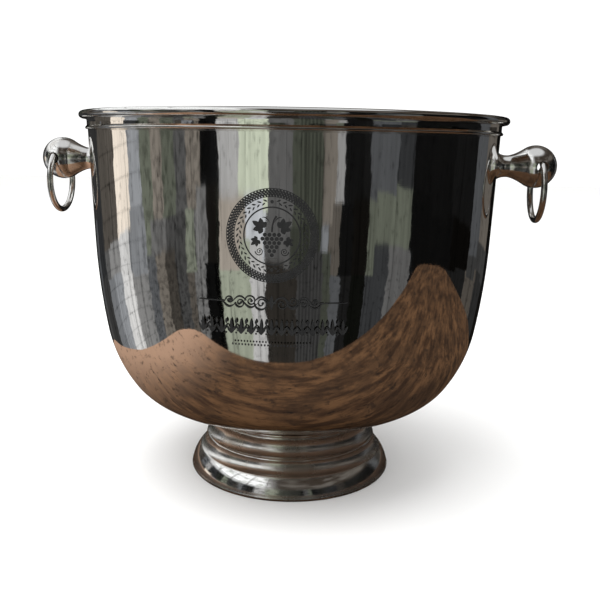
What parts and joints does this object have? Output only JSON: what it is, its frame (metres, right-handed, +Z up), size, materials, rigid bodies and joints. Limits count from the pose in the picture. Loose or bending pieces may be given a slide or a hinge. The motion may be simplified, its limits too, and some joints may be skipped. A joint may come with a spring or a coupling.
{
  "type": "champagne bucket",
  "caption": "Footed champagne bucket with a rolled rim, a moulded pedestal foot and ball handles that carry loose rings.",
  "frame": {"origin": "centre of the surface that the foot stands on", "axes": "+Z up out of the bowl's mouth, handles along X, decorated front towards -Y"},
  "size_m": [0.4986, 0.4, 0.35],
  "materials": {
    "polished_silver": "hand-polished silver plate, near mirror, with fine scratches",
    "cast_silver": "polished cast metal, silver plated, slightly tarnished in the creases",
    "steel_fixings": "bright stainless fixings",
    "steel_wire": "drawn steel wire inside the rolled edges",
    "seal_rubber": "soft black sealing washer",
    "etched_metal": "dull etched decoration, darkened"
  },
  "bodies": {
    "bucket": {"bowl": "polished_silver", "rim_wire": "steel_wire", "foot": "polished_silver", "foot_edge_wire": "steel_wire", "foot_bolt": "steel_fixings", "foot_seal_washer": "seal_rubber", "foot_washer": "steel_fixings", "foot_nut": "steel_fixings", "left_knob_neck": "cast_silver", "right_knob_neck": "cast_silver", "left_knob_ball": "cast_silver", "right_knob_ball": "cast_silver", "left_handle_stud": "steel_fixings", "right_handle_stud": "steel_fixings", "left_handle_washer": "steel_fixings", "right_handle_washer": "steel_fixings", "left_handle_nut": "steel_fixings", "right_handle_nut": "steel_fixings"},
    "left_ring_body": {"left_ring": "cast_silver"},
    "right_ring_body": {"right_ring": "cast_silver"}
  },
  "joints": [
    {"name": "left_ring_swing", "type": "hinge", "parent": "bucket", "child": "left_ring_body", "pos_m": [-0.23285, 0, 0.3067], "axis": [0, 1, 0], "range_deg": [-40, 205]},
    {"name": "right_ring_swing", "type": "hinge", "parent": "bucket", "child": "right_ring_body", "pos_m": [0.23285, 0, 0.3067], "axis": [0, -1, 0], "range_deg": [-40, 205]}
  ]
}
